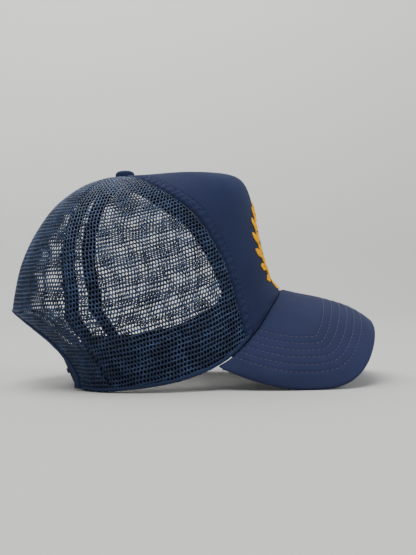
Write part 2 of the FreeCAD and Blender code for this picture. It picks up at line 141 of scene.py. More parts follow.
def from_table(table, angle, fraction):
    a = np.clip((angle - TABLE_ANGLES[0]) / STEP, 0, len(TABLE_ANGLES) - 1.001)
    f = np.clip(fraction, 0, 1) * (TABLE_FRACTIONS - 1)
    f = np.minimum(f, TABLE_FRACTIONS - 1.001)
    i, j = a.astype(int), f.astype(int)
    s, t = (a - i)[..., None], (f - j)[..., None]
    near = table[i, j] * (1 - t) + table[i, j + 1] * t
    far = table[i + 1, j] * (1 - t) + table[i + 1, j + 1] * t
    return near * (1 - s) + far * s


def length_down(angle):
    return np.interp(angle, TABLE_ANGLES, CROWN_LENGTH)


def on_crown(angle, fraction, depth=0.0):
    """Points in millimetres; a fraction past 1 runs on straight below the rim."""
    angle, fraction = np.broadcast_arrays(np.asarray(angle, float), np.asarray(fraction, float))
    point = from_table(CROWN_POINTS, angle, fraction)
    beyond = np.maximum(fraction - 1, 0) * length_down(angle)
    if beyond.any():
        ahead = from_table(CROWN_POINTS, angle, np.ones_like(fraction))
        behind = from_table(CROWN_POINTS, angle, np.full_like(fraction, 0.985))
        fall = (ahead - behind) / np.linalg.norm(ahead - behind, axis=-1)[..., None]
        point = point + fall * beyond[..., None]
    outward = from_table(CROWN_OUT, angle, fraction)
    outward /= np.linalg.norm(outward, axis=-1)[..., None]
    return point - outward * np.asarray(depth, float)[..., None]


def crown(angle, fraction, depth=0.0):
    """Points in metres in the frame of the whole cap."""
    return (on_crown(angle, fraction, depth) + SHIFT) * MM


def above_rim(angle, distance):
    """Fraction at a distance above the rim, in millimetres along the crown."""
    return 1 - distance / length_down(angle)


def seam_angle(seam, fraction, offset=0.0):
    """Angle at a distance along the crown from a seam; + is away from the visor."""
    angle = smooth(seam, fraction)
    step = on_crown(angle + 0.5, fraction) - on_crown(angle - 0.5, fraction)
    return angle + offset / np.linalg.norm(step, axis=-1)


def find_by_yz(y, z, start_angle, start_fraction):
    """Angle and fraction of the crown's point with these side and height values, in millimetres."""
    angle = np.full(np.shape(y), float(start_angle)) + np.zeros_like(z)
    fraction = np.full(np.shape(y), float(start_fraction)) + np.zeros_like(z)
    for _ in range(30):
        here = on_crown(angle, fraction)[..., 1:]
        by_angle = (on_crown(angle + 0.3, fraction)[..., 1:] - here) / 0.3
        by_fraction = (on_crown(angle, fraction + 0.002)[..., 1:] - here) / 0.002
        miss = np.stack([y, z], -1) - here
        det = by_angle[..., 0] * by_fraction[..., 1] - by_angle[..., 1] * by_fraction[..., 0]
        det = np.where(np.abs(det) < 1e-6, 1e-6, det)
        d_angle = (miss[..., 0] * by_fraction[..., 1] - miss[..., 1] * by_fraction[..., 0]) / det
        d_fraction = (by_angle[..., 0] * miss[..., 1] - by_angle[..., 1] * miss[..., 0]) / det
        angle = angle + np.clip(d_angle, -6, 6)
        fraction = np.clip(fraction + np.clip(d_fraction, -0.05, 0.05), 0.05, 1.05)
    return angle, fraction


def ripple(u, v, seed, size):
    """Smooth unevenness between about -1 and 1 over places in millimetres."""
    rng = np.random.default_rng(seed)
    total = 0
    for _ in range(7):
        heading = rng.uniform(0, 2 * math.pi)
        wave = rng.uniform(0.6, 1.8) * 2 * math.pi / size
        total = total + np.sin((u * math.cos(heading) + v * math.sin(heading)) * wave + rng.uniform(0, 6.3))
    return total / 3.5


# ---------------------------------------------------------------- meshes

def new_object(name, points, faces, uv=None, material=None, body="cap", slot=None, replaced=(),
               smooth_shading=True):
    mesh = bpy.data.meshes.new(name)
    mesh.from_pydata([tuple(p) for p in points], [], [tuple(f) for f in faces])
    mesh.update()
    if uv is not None:
        layer = mesh.uv_layers.new(name="cloth_mm")
        corner = np.empty(len(mesh.loops), int)
        mesh.loops.foreach_get("vertex_index", corner)
        layer.data.foreach_set("uv", np.asarray(uv, float)[corner].ravel())
    tidy_mesh(mesh)
    mesh.polygons.foreach_set("use_smooth", [smooth_shading] * len(mesh.polygons))
    piece = bpy.data.objects.new(name, mesh)
    bpy.context.scene.collection.objects.link(piece)
    if material:
        mesh.materials.append(material)
    if body:
        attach(piece, body)
    if replaced:
        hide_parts(*replaced)
    return piece


def tidy_mesh(mesh):
    """Joins doubled points, drops faces with no area and turns faces outwards."""
    work = bmesh.new()
    work.from_mesh(mesh)
    bmesh.ops.remove_doubles(work, verts=work.verts, dist=2e-6)
    flat = [face for face in work.faces if face.calc_area() < 1e-12]
    bmesh.ops.delete(work, geom=flat, context="FACES_ONLY")
    loose = [vert for vert in work.verts if not vert.link_faces]
    bmesh.ops.delete(work, geom=loose, context="VERTS")
    bmesh.ops.recalc_face_normals(work, faces=work.faces)
    work.to_mesh(mesh)
    work.free()


def grid_faces(rows, columns, start=0, close_rows=False, close_columns=False):
    faces = []
    for j in range(rows if close_rows else rows - 1):
        for i in range(columns if close_columns else columns - 1):
            a, b = j * columns + i, j * columns + (i + 1) % columns
            c, d = ((j + 1) % rows) * columns + (i + 1) % columns, ((j + 1) % rows) * columns + i
            faces.append((start + a, start + b, start + c, start + d))
    return faces


def layer_of_cloth(name, angle, fraction, outer, inner, uv, **how):
    """Closed sheet between two depths over a grid of places on the crown."""
    rows, columns = np.shape(angle)
    top = crown(angle, fraction, outer).reshape(-1, 3)
    under = crown(angle, fraction, inner).reshape(-1, 3)
    count = rows * columns
    faces = grid_faces(rows, columns)
    faces += [tuple(reversed([k + count for k in face])) for face in grid_faces(rows, columns)]
    border = ([i for i in range(columns)] + [j * columns + columns - 1 for j in range(1, rows)]
              + [(rows - 1) * columns + i for i in range(columns - 2, -1, -1)]
              + [j * columns for j in range(rows - 2, 0, -1)])
    for a, b in zip(border, border[1:] + border[:1]):
        faces.append((b, a, a + count, b + count))
    return new_object(name, np.concatenate([top, under]), faces, np.concatenate([uv, uv]), **how)


def run_along(line):
    """Distance of each point of a line from its first, along the line."""
    return np.concatenate([[0], np.linalg.norm(np.diff(line, axis=0), axis=1).cumsum()])


def closed_tube(name, rings, round_it, **how):
    """Tube with closed ends through equal rings of points; round_it is their place round the tube."""
    rows, columns = rings.shape[:2]
    faces = grid_faces(rows, columns, close_columns=True)
    faces += [tuple(range(columns)), tuple(reversed(range((rows - 1) * columns, rows * columns)))]
    run = run_along(rings.mean(1)) / MM
    uv = np.stack([np.repeat(run, columns), np.tile(round_it, rows)], 1)
    return new_object(name, rings.reshape(-1, 3), faces, uv, **how)


def place_mm(angle, fraction):
    """Distances in millimetres across and down a grid of places, and from its two side edges."""
    points = on_crown(angle, fraction)
    steps = np.linalg.norm(np.diff(points, axis=1), axis=2)
    across = np.concatenate([np.zeros((len(points), 1)), steps.cumsum(1)], 1)
    total = across[:, -1:]
    down = fraction * length_down(angle)
    return across - total / 2, down, np.minimum(across, total - across)


def rounded_section(low, high, near, far, corner, steps=4):
    """Corner-rounded box in (distance, depth), as a closed list of pairs."""
    corner = min(corner, (high - low) / 2.01, abs(far - near) / 2.01)
    spots = [(high - corner, far - corner, 0), (low + corner, far - corner, 90),
             (low + corner, near + corner, 180), (high - corner, near + corner, 270)]
    section = []
    for x, y, start in spots:
        for k in range(steps + 1):
            turn = math.radians(start + 90 * k / steps)
            section.append((x + corner * math.cos(turn), y + corner * math.sin(turn)))
    return np.array(section)


# ---------------------------------------------------------------- materials

class Nodes:
    """Short way to write a material's nodes."""

    def __init__(self, name):
        self.material = bpy.data.materials.new(name)
        self.material.use_nodes = True
        self.tree = self.material.node_tree
        self.shader = self.tree.nodes["Principled BSDF"]

    def add(self, kind, settings=None, **inputs):
        node = self.tree.nodes.new("ShaderNode" + kind)
        for key, value in (settings or {}).items():
            setattr(node, key, value)
        for key, value in inputs.items():
            socket = node.inputs[int(key[1:])] if key[0] == "_" else node.inputs[key.replace("_", " ")]
            self.set(socket, value)
        return node

    def set(self, socket, value):
        if isinstance(value, bpy.types.NodeSocket):
            self.tree.links.new(value, socket)
        else:
            socket.default_value = value

    def math(self, operation, a, b=0.0, c=0.0):
        return self.add("Math", {"operation": operation}, _0=a, _1=b, _2=c).outputs[0]

    def cloth_place(self):
        """The two cloth directions, in millimetres."""
        split = self.add("SeparateXYZ", _0=self.add("UVMap", {"uv_map": "cloth_mm"}).outputs[0])
        return split.outputs[0], split.outputs[1]

    def object_place(self):
        return self.add("TexCoord").outputs["Object"]

    def noise(self, scale, detail=2.0, vector=None):
        where = vector or self.object_place()
        node = self.add("TexNoise", Vector=where, Scale=scale, Detail=detail)
        return node.outputs["Fac"]

    def wave(self, along, pitch, phase=0.0):
        """0 to 1 wave of a pitch in the same unit as along."""
        turn = self.math("MULTIPLY_ADD", along, 2 * math.pi / pitch, phase)
        return self.math("MULTIPLY_ADD", self.math("SINE", turn), 0.5, 0.5)

    def colours(self, factor, low, high, spread=(0.35, 0.65)):
        ramp = self.add("ValToRGB", _0=factor)
        ramp.color_ramp.elements[0].position = spread[0]
        ramp.color_ramp.elements[0].color = (*low, 1)
        ramp.color_ramp.elements[1].position = spread[1]
        ramp.color_ramp.elements[1].color = (*high, 1)
        return ramp.outputs[0]

    def finish(self, colour, roughness, height=None, depth_mm=0.05, **shader):
        self.set(self.shader.inputs["Base Color"], colour)
        self.set(self.shader.inputs["Roughness"], roughness)
        if height is not None:
            bump = self.add("Bump", Height=height, Distance=depth_mm * MM)
            self.set(self.shader.inputs["Normal"], bump.outputs[0])
        for key, value in shader.items():
            self.set(self.shader.inputs[key.replace("_", " ")], value)
        return self.material


def tinted(colour, share):
    return tuple(min(c * share, 1) for c in colour)


NAVY = (0.0080, 0.0140, 0.0500)
NAVY_VISOR = (0.0135, 0.0195, 0.0590)
NAVY_MESH = (0.0070, 0.0135, 0.0400)
NAVY_DARK = (0.0025, 0.0035, 0.0080)


def woven(name, colour, pitch=0.42, depth_mm=0.06, roughness=0.86, twill=False, sheen=0.05, wear=0.10):
    """Cloth with real yarns crossing at a pitch in millimetres."""
    n = Nodes(name)
    u, v = n.cloth_place()
    if twill:
        slant = n.math("ADD", u, v)
        height = n.math("MULTIPLY", n.wave(slant, pitch * 1.7), n.wave(v, pitch, 1.0))
    else:
        over = n.math("MULTIPLY", n.wave(u, pitch), n.wave(v, pitch, math.pi))
        under = n.math("MULTIPLY", n.wave(u, pitch, math.pi), n.wave(v, pitch))
        height = n.math("ADD", over, under)
    fuzz = n.noise(2600, 3)
    height = n.math("MULTIPLY_ADD", fuzz, 0.5, height)
    patch = n.noise(22, 3)
    fine = n.noise(900, 2)
    mixed = n.math("ADD", n.math("MULTIPLY", patch, 0.65), n.math("MULTIPLY", fine, 0.35))
    worn, fresh = tinted(colour, 1 - wear * 1.4), tinted(colour, 1 + wear * 1.6)
    colour_out = n.colours(mixed, worn, fresh, (0.38, 0.62))
    rough = n.math("MULTIPLY_ADD", fine, 0.16, roughness - 0.08)
    return n.finish(colour_out, rough, height, depth_mm, Sheen_Weight=sheen, Sheen_Roughness=0.45,
                    Sheen_Tint=(0.45, 0.6, 1.0, 1.0), Specular_IOR_Level=0.25)


def yarn_material(name, colour, painted_glint, roughness=0.34):
    """Knitted filament yarn of the net, with highlights painted into its colour on scattered patches of
    filaments.
    """
    n = Nodes(name)
    u, v = n.cloth_place()
    filament = n.wave(n.math("ADD", u, n.math("MULTIPLY", v, 0.6)), 0.21)
    height = n.math("MULTIPLY_ADD", n.noise(4200, 2), 0.8, filament)
    # Painted highlights: this noise picks scattered patches where the yarn's colour is lifted towards the
    # light blue glint colour.
    painted_glint_mask = n.math("ADD", n.math("MULTIPLY", n.noise(90, 3), 0.5),
                  n.math("MULTIPLY", n.noise(520, 2), 0.5))
    colour_out = n.colours(painted_glint_mask, colour, painted_glint, (0.44, 0.66))
    return n.finish(colour_out, roughness, height, 0.05, Sheen_Weight=0.05, Sheen_Roughness=0.3,
                    Sheen_Tint=(0.4, 0.6, 1.0, 1.0), Specular_IOR_Level=0.5,
                    Specular_Tint=(0.7, 0.82, 1.0, 1.0))


def thread_material(name, colour, roughness=0.45, sheen=0.03, specular=0.35):
    n = Nodes(name)
    twist = n.noise(1800, 2)
    colour_out = n.colours(twist, tinted(colour, 0.72), tinted(colour, 1.15), (0.3, 0.7))
    return n.finish(colour_out, roughness, twist, 0.08, Sheen_Weight=sheen, Specular_IOR_Level=specular)


def plastic_material(name, colour, roughness=0.42):
    n = Nodes(name)
    grain = n.noise(1500, 3)
    cloud = n.noise(40, 2)
    colour_out = n.colours(cloud, tinted(colour, 0.92), tinted(colour, 1.1), (0.35, 0.65))
    rough = n.math("MULTIPLY_ADD", grain, 0.14, roughness - 0.07)
    return n.finish(colour_out, rough, grain, 0.02, Specular_IOR_Level=0.5)


def metal_material(name, colour=(0.55, 0.55, 0.56)):
    n = Nodes(name)
    brush = n.noise(900, 4)
    colour_out = n.colours(brush, tinted(colour, 0.9), tinted(colour, 1.08))
    rough = n.math("MULTIPLY_ADD", brush, 0.2, 0.22)
    return n.finish(colour_out, rough, brush, 0.01, Metallic=1.0)


def foam_material(name, colour):
    n = Nodes(name)
    cells = n.add("TexVoronoi", Vector=n.object_place(), Scale=1400).outputs["Distance"]
    cloud = n.noise(60, 3)
    colour_out = n.colours(cloud, tinted(colour, 0.9), tinted(colour, 1.05))
    return n.finish(colour_out, 0.95, cells, 0.18, Specular_IOR_Level=0.2)


FRONT_CLOTH = woven("front_cloth", NAVY, pitch=0.40, depth_mm=0.05)
VISOR_CLOTH = woven("visor_cloth", NAVY_VISOR, pitch=0.46, depth_mm=0.07, twill=True)
BUTTON_CLOTH = woven("button_cloth", NAVY, pitch=0.40, depth_mm=0.05)
# The third colour is the painted highlight colour of the net's glinting filaments.
NET_YARN = yarn_material("net_yarn", NAVY_MESH, (0.036, 0.066, 0.150))
HEM_CLOTH = woven("hem_cloth", tinted(NAVY_MESH, 1.4), pitch=0.8, depth_mm=0.16, sheen=0.08)
TAPE_CLOTH = woven("seam_tape_cloth", NAVY_DARK, pitch=0.55, depth_mm=0.10, twill=True, sheen=0.02)
BAND_CLOTH = woven("sweatband_cloth", (0.0065, 0.0065, 0.0125), pitch=0.5, depth_mm=0.09, sheen=0.05)
BINDING_CLOTH = woven("binding_cloth", tinted(NAVY_MESH, 1.5), pitch=0.9, depth_mm=0.2, sheen=0.08)
NAVY_THREAD = thread_material("navy_thread", (0.026, 0.042, 0.105))
VISOR_THREAD = thread_material("visor_thread", (0.075, 0.070, 0.120))
GOLD_THREAD = thread_material("gold_thread", (0.95, 0.44, 0.0), roughness=0.6, sheen=0.0, specular=0.08)
WHITE_SATIN = woven("label_satin", (0.86, 0.85, 0.83), pitch=0.25, depth_mm=0.02, roughness=0.5, sheen=0.2,
                    wear=0.02)
FOAM = foam_material("foam_backing", (0.62, 0.61, 0.58))
SNAP_PLASTIC = plastic_material("snap_plastic", (0.020, 0.028, 0.060))
BUTTON_STEEL = metal_material("button_steel")


# ---------------------------------------------------------------- threads and stitches

def tubes(name, paths, normals, radii, sides=6, flatten=1.0, **how):
    """One mesh of many short tubes; paths and normals are (tube, step, 3) arrays in metres."""
    paths, normals = np.asarray(paths), np.asarray(normals)
    count, steps, _ = paths.shape
    along = np.gradient(paths, axis=1)
    along /= np.linalg.norm(along, axis=2)[..., None] + 1e-12
    side = np.cross(along, normals)
    side /= np.linalg.norm(side, axis=2)[..., None] + 1e-12
    up = np.cross(side, along)
    turn = np.linspace(0, 2 * math.pi, sides, endpoint=False)
    radii = np.broadcast_to(radii, (count, steps))[..., None, None]
    ring = (side[:, :, None] * np.cos(turn)[None, None, :, None]
            + up[:, :, None] * np.sin(turn)[None, None, :, None] * flatten)
    points = (paths[:, :, None] + ring * radii).reshape(-1, 3)
    base = np.array(grid_faces(steps, sides, close_columns=True))
    faces = (base[None] + np.arange(count)[:, None, None] * steps * sides).reshape(-1, 4).tolist()
    for k in range(count):
        start = k * steps * sides
        faces.append(tuple(start + np.arange(sides)[::-1]))
        faces.append(tuple(start + (steps - 1) * sides + np.arange(sides)))
    run = np.broadcast_to(np.linspace(0, 3, steps)[None, :, None], (count, steps, sides)).ravel()
    round_it = np.broadcast_to(np.linspace(0, 1, sides)[None, None, :], (count, steps, sides)).ravel()
    return new_object(name, points, faces, np.stack([run, round_it], 1), **how)


STITCH_PROFILE = np.array([0.15, 0.8, 1.0, 1.0, 0.8, 0.15])


def stitches(path, outward, length, gap, radius, seed):
    """Paths, normals and radii of separate stitches along a path of points in metres."""
    run = run_along(path) / MM
    starts = np.arange(gap, run[-1] - length, length + gap)
    rng = np.random.default_rng(seed)
    where = starts[:, None] + np.linspace(0, 1, len(STITCH_PROFILE))[None] * length
    where = where + rng.uniform(-0.12, 0.12, len(starts))[:, None]
    points = np.stack([np.interp(where, run, path[:, k]) for k in range(3)], 2)
    normals = np.stack([np.interp(where, run, outward[:, k]) for k in range(3)], 2)
    arch = np.sin(np.linspace(0, math.pi, len(STITCH_PROFILE)))[None, :, None]
    points = points + normals * (arch * 1.1 - 0.45) * radius * MM
    return points, normals, STITCH_PROFILE * radius * MM


def stitch_rows(name, rows, length, gap, radius, **how):
    """Several rows of stitches as one piece; rows holds (path, outward) pairs."""
    made = [stitches(path, outward, length, gap, radius, seed) for seed, (path, outward) in enumerate(rows)]
    return tubes(name, np.concatenate([m[0] for m in made]), np.concatenate([m[1] for m in made]),
                 made[0][2], **how)


def crown_path(angle, fraction, depth):
    path = crown(angle, fraction, depth)
    outward = on_crown(angle, fraction, -1.0) - on_crown(angle, fraction, 0.0)
    return path, outward


# ---------------------------------------------------------------- front panel

def mm_per_degree(angle, fraction):
    return np.linalg.norm(on_crown(angle + 0.5, fraction) - on_crown(angle - 0.5, fraction), axis=-1)


FRONT_STITCH_INSET = 6.5
FOAM_DEPTHS = (1.3, 4.2)


def front_columns(fractions, inset=0.0, near=14.0, near_steps=27, middle_steps=61):
    """Angles of a grid over the front panel, closer together near its two seams."""
    half = smooth(FRONT_SEAM, fractions)
    per_degree = mm_per_degree(half, fractions)
    share = np.minimum(1, half * per_degree / (near * 2))
    reach = inset + np.linspace(0, near, near_steps)
    edge = half[:, None] - reach[None] * (share / per_degree)[:, None]
    middle = np.linspace(1, -1, middle_steps)[1:-1][None] * edge[:, -1:]
    return np.concatenate([edge, middle, -edge[:, ::-1]], 1)


def front_relief(across, down, edge, length):
    """How far in the cloth lies: rolled edges, stitched channels, puckers and a slight billow."""
    roll = 1.1 * (1 - ease(edge / 2.2))
    channel = 0.5 * np.exp(-((edge - FRONT_STITCH_INSET) / 0.8) ** 2)
    beat = 2 * math.pi * down / 5.4 + 1.6 * ripple(across, down, 5, 24)
    pucker = 0.32 * np.sin(beat) * np.exp(-((edge - 3.8) / 3.4) ** 2)
    billow = 0.22 * ripple(across, down, 3, 44)
    rim = 0.9 * (1 - ease((length - down) / 3.5))
    rim = rim + 0.1 * np.sin(beat * 0.8) * np.exp(-((length - down) / 7) ** 2)
    return roll + channel + pucker + billow + rim


def make_front_panel():
    fractions = np.linspace(0.03, 1.0, 260)
    angle = front_columns(fractions, 0.1)
    fraction = np.broadcast_to(fractions[:, None], angle.shape)
    across, down, edge = place_mm(angle, fraction)
    relief = front_relief(across, down, edge, length_down(angle))
    uv = np.stack([across.ravel(), down.ravel()], 1)
    panel = layer_of_cloth("front_cloth_panel", angle, fraction, relief - 0.1, relief + 0.8, uv,
                           material=FRONT_CLOTH, slot="front_cloth", replaced=["front_panel"])

    rows = []
    line = np.linspace(0.06, 0.985, 400)
    for sign in (1, -1):
        inside = sign * seam_angle(FRONT_SEAM, line, -FRONT_STITCH_INSET - 0.1)
        rows.append(crown_path(inside, line, 0.12))
    stitch_rows("front_topstitch", rows, 2.7, 0.8, 0.24, material=NAVY_THREAD, slot="front_cloth")


def make_front_foam():
    fractions = np.linspace(0.045, 0.985, 90)
    angle = front_columns(fractions, 1.0, near_steps=8, middle_steps=41)
    fraction = np.broadcast_to(fractions[:, None], angle.shape)
    across, down, edge = place_mm(angle, fraction)
    soft = 0.35 * ripple(across, down, 8, 30)
    thin = 1.2 * (1 - ease(edge / 3.0))
    uv = np.stack([across.ravel(), down.ravel()], 1)
    foam = layer_of_cloth("front_foam_backing", angle, fraction, FOAM_DEPTHS[0], FOAM_DEPTHS[1] + soft - thin,
                          uv, material=FOAM, slot="front_foam", replaced=["front_foam"])


# ---------------------------------------------------------------- net panels

HOLE_PITCH, ROW_PITCH = 2.45, 3.1
HOLE_HALF = (0.85, 1.31)
STRAND = 1.15
SLANTS = (35.0, 8.0)


def row_direction(angle, fraction, slope):
    """Direction of a row of holes in the surface, towards the visor, rising by slope degrees."""
    outward = from_table(CROWN_OUT, angle, fraction)
    outward /= np.linalg.norm(outward, axis=-1)[..., None]
    level = np.cross(outward, np.array([0, 0, 1.0]))
    level /= np.linalg.norm(level, axis=-1)[..., None] + 1e-9
    up = np.cross(level, outward)
    rise = np.radians(slope)[..., None]
    return np.cos(rise) * level + np.sin(rise) * up, outward


def walk(angle, fraction, direction, step):
    """One step over the crown along a direction in its surface."""
    by_angle = (on_crown(angle + 0.25, fraction) - on_crown(angle - 0.25, fraction)) / 0.5
    high = np.clip(fraction + 0.002, 0.004, 1)
    low = high - 0.004
    by_fraction = (on_crown(angle, high) - on_crown(angle, low)) / (high - low)[..., None]
    aa, ff = (by_angle**2).sum(-1), (by_fraction**2).sum(-1)
    af = (by_angle * by_fraction).sum(-1)
    da, df = (by_angle * direction).sum(-1), (by_fraction * direction).sum(-1)
    det = np.maximum(aa * ff - af * af, 1e-3)
    return (np.clip(angle + step * np.clip((da * ff - df * af) / det, -8, 8), -235, 235),
            np.clip(fraction + step * (df * aa - da * af) / det, 0.012, 1.2))


def net_lattice(middle_seam, slope, reach):
    """Angles and fractions of a half-pitch lattice laid over one panel of the left side."""
    angle, fraction = [], [0.02]
    while fraction[-1] < 1.12:
        here = np.array(fraction[-1])
        turn = middle_seam(np.minimum(here, 1))
        direction, outward = row_direction(turn, np.minimum(here, 0.99), slope(turn, here))
        ahead = on_crown(middle_seam(min(here + 0.01, 1)), min(here + 0.01, 1.0))
        behind = on_crown(middle_seam(max(min(here, 0.99) - 0.01, 0)), max(min(here, 0.99) - 0.01, 0))
        slide = ahead - behind
        per_fraction = np.linalg.norm(slide) / (min(here + 0.01, 1.0) - max(min(here, 0.99) - 0.01, 0))
        lean = abs(np.dot(slide / np.linalg.norm(slide), np.cross(outward, direction)))
        angle.append(float(turn))
        fraction.append(float(here + ROW_PITCH / 2 / lean / per_fraction))
    angle, fraction = np.array(angle), np.array(fraction[:-1])
    steps = int(reach / (HOLE_PITCH / 2))
    lines = {0: (angle, fraction)}
    for sense in (1, -1):
        a, f = angle, fraction
        for k in range(1, steps + 1):
            direction, _ = row_direction(a, np.minimum(f, 0.99), slope(a, f))
            a, f = walk(a, f, direction * sense, HOLE_PITCH / 2)
            lines[sense * k] = (a, f)
    order = sorted(lines)
    return (np.stack([lines[k][0] for k in order], 1), np.stack([lines[k][1] for k in order], 1), steps)


def net_cells(lattice, seed):
    """Lattice places of every cell's five rings of eight points, from its edge through the hole and back."""
    angles, fractions, steps = lattice
    half_p, half_q = HOLE_PITCH / 2, ROW_PITCH / 2
    rows = np.arange(1, angles.shape[0] - 1, 2)
    j, i = np.meshgrid(rows, np.arange(2, angles.shape[1] - 3, 2), indexing="ij")
    j, i = j.ravel(), i.ravel()
    odd = ((j - 1) // 2) % 2
    i = i + odd
    rng = np.random.default_rng(seed)
    streak = ripple(i * HOLE_PITCH / 2 / 6, j * ROW_PITCH / 2, seed + 3, 11)
    dense_top = 0.46 + 0.54 * ease((fractions[j, i] - 0.03) / 0.26)
    grow = dense_top + rng.normal(0, 0.03, angles.shape[0])[j] + 0.05 * streak + rng.normal(0, 0.025, len(j))
    outline = np.array([(1, 0), (1, 1), (0, 1), (-1, 1), (-1, 0), (-1, -1), (0, -1), (1, -1)], float)
    edge = outline * (half_p, half_q)
    heading = np.arctan2(edge[:, 1], edge[:, 0])
    slant = np.radians(np.where(odd == 1, SLANTS[0], SLANTS[1]) + rng.normal(0, 4, len(j)))[:, None]
    local = heading[None] - slant
    a, b = HOLE_HALF[0] * grow[:, None], HOLE_HALF[1] * grow[:, None]
    radius = 1 / np.sqrt((np.cos(local) / a) ** 2 + (np.sin(local) / b) ** 2)
    limit = np.linalg.norm(edge, axis=1)[None] * 0.86
    radius = np.minimum(radius, limit)
    hole = np.stack([np.cos(heading)[None] * radius, np.sin(heading)[None] * radius], 2)
    edge = np.broadcast_to(edge[None], hole.shape)
    middle = edge * 0.42 + hole * 0.58
    local = np.stack([edge, middle, hole, middle, edge], 1)
    p, q = i[:, None, None] + local[..., 0] / half_p, j[:, None, None] + local[..., 1] / half_q
    p = p + 0.32 * ripple(p * half_p, q * half_q, seed + 40, 26)
    q = q + 0.26 * ripple(p * half_p, q * half_q, seed + 50, 34)
    return p, q


def spread(table, p, q):
    i = np.clip(p.astype(int), 0, table.shape[1] - 2)
    j = np.clip(q.astype(int), 0, table.shape[0] - 2)
    s, t = p - i, q - j
    return ((table[j, i] * (1 - s) + table[j, i + 1] * s) * (1 - t)
            + (table[j + 1, i] * (1 - s) + table[j + 1, i + 1] * s) * t)


RING_DEPTHS = np.array([0.0, 0.16, 0.5, 0.84, 1.0]) * STRAND
CREST_LIFT = np.array([0.0, 0.05, 0.16, 0.05, 0.0, 0.05, 0.16, 0.05])


def net_panel(name, side, lattice, keep_inside, seed, node):
    """A panel of knitted net with its holes as real holes, cut to the panel's edges."""
    p, q = net_cells(lattice, seed)
    angle, fraction = spread(lattice[0], p, q), spread(lattice[1], p, q)
    new_angle, new_fraction, moved, border = keep_inside(angle, fraction)
    kept = ~moved[:, 0].all(1)
    angle, fraction, border = new_angle[kept], new_fraction[kept], border[kept]
    p, q = p[kept], q[kept]
    depth = np.broadcast_to(RING_DEPTHS[None, :, None], angle.shape).copy()
    lift = CREST_LIFT * STRAND
    depth[:, 0] += lift
    depth[:, 4] -= lift
    u, v = p * HOLE_PITCH / 2, q * ROW_PITCH / 2
    depth += 0.8 * (1 - ease(border / 2.2)) + 0.25 * ripple(u, v, seed + 7, 40)
    points = crown(SIDES[side] * angle, fraction, depth).reshape(-1, 3)
    ring = np.array([(a * 8 + k, a * 8 + (k + 1) % 8, (a + 1) * 8 + (k + 1) % 8, (a + 1) * 8 + k)
                     for a in range(4) for k in range(8)])
    faces = (ring[None] + np.arange(len(angle))[:, None, None] * 40).reshape(-1, 4).tolist()
    uv = np.stack([u.ravel(), v.ravel()], 1)
    net = new_object(name, points, faces, uv, material=NET_YARN, slot="mesh", replaced=[node])
    return net


def keep_in_side(angle, fraction):
    front = smooth(FRONT_SEAM, np.clip(fraction, 0, 1))
    rear = smooth(REAR_SEAM, np.clip(fraction, 0, 1))
    top, bottom = 0.03, 1.0
    inside = np.clip(angle, front, rear)
    level = np.clip(fraction, top, bottom)
    moved = (inside != angle) | (level != fraction)
    per_degree = mm_per_degree(inside, np.clip(level, 0.02, 1))
    border = np.minimum(inside - front, rear - inside) * per_degree
    return inside, level, moved, np.minimum(border, (1 - level) * length_down(inside) + 0.6)


def in_arch(y, z, grow):
    """Under 1 inside the rear opening grown by a width, and over 1 outside it."""
    return ((np.abs(y) / (ARCH_HALF_WIDTH + grow)) ** ARCH_POWER
            + (np.maximum(z, 0) / (ARCH_HEIGHT + grow)) ** ARCH_POWER)


def keep_in_rear(angle, fraction):
    front = smooth(REAR_SEAM, np.clip(fraction, 0, 1))
    inside = np.clip(angle, front, 180)
    level = np.clip(fraction, 0.03, 1.0)
    place = on_crown(inside, level)
    grow = 2.5
    inner = in_arch(place[..., 1], place[..., 2], grow)
    cut = (inner < 1) & (inside > 120)
    scale = np.maximum(inner[cut], 1e-3) ** (-1 / ARCH_POWER)
    y, z = place[..., 1][cut] * scale, np.maximum(place[..., 2][cut], 1) * scale
    target_a, target_f = find_by_yz(np.minimum(y, ARCH_HALF_WIDTH + grow), z, 165, 0.8)
    inside, level = inside.copy(), level.copy()
    inside[cut] = np.clip(target_a, 120, 180)
    level[cut] = np.clip(target_f, 0.03, 1)
    moved = (inside != angle) | (level != fraction)
    per_degree = mm_per_degree(inside, np.clip(level, 0.02, 1))
    border = np.minimum(inside - front, 180 - inside + 2) * per_degree
    return inside, level, moved, border


def side_slope(angle, fraction):
    front = smooth(FRONT_SEAM, np.clip(fraction, 0, 1))
    rear = smooth(REAR_SEAM, np.clip(fraction, 0, 1))
    ahead = np.clip((rear - angle) / (rear - front), 0, 1)
    return 10 + 5 * ahead + 9 * ahead * ease(np.clip(fraction, 0, 1))


def rear_slope(angle, fraction):
    return np.zeros_like(np.asarray(angle, float)) + 1.5


def make_nets():
    side_middle = lambda f: (smooth(FRONT_SEAM, f) + smooth(REAR_SEAM, f)) / 2
    rear_middle = lambda f: (smooth(REAR_SEAM, f) + 180) / 2
    side_lattice = net_lattice(side_middle, side_slope, 85)
    rear_lattice = net_lattice(rear_middle, rear_slope, 80)
    for seed, side in enumerate(SIDES):
        net_panel("side_net_" + side, side, side_lattice, keep_in_side, 11 + seed,
                  "side_mesh_" + side)
        net_panel("rear_net_" + side, side, rear_lattice, keep_in_rear, 21 + seed,
                  "rear_mesh_" + side)


# ---------------------------------------------------------------- tapes, hems, sweatband, label

def crown_strip(name, seam, before, after, start, end, depth, thick, **how):
    """Woven tape under a seam, from one side of it to the other; seam gives signed angles."""
    fractions = np.linspace(start, end, 160)
    offsets = np.linspace(before, after, 11)
    middle = seam(fractions)
    angle = middle[:, None] + offsets[None] / mm_per_degree(middle, fractions)[:, None]
    fraction = np.broadcast_to(fractions[:, None], angle.shape)
    across, down, edge = place_mm(angle, fraction)
    sag = 0.12 * ripple(across, down, 31, 14) + 0.1 * np.cos(across * 1.2)
    uv = np.stack([across.ravel(), down.ravel()], 1)
    return layer_of_cloth(name, angle, fraction, depth + sag * 0.5, depth + thick + sag, uv, **how)


TAPE_DEPTH, TAPE_THICK = 1.45, 0.6
TAPE_ENDS = (0.045, 0.98)


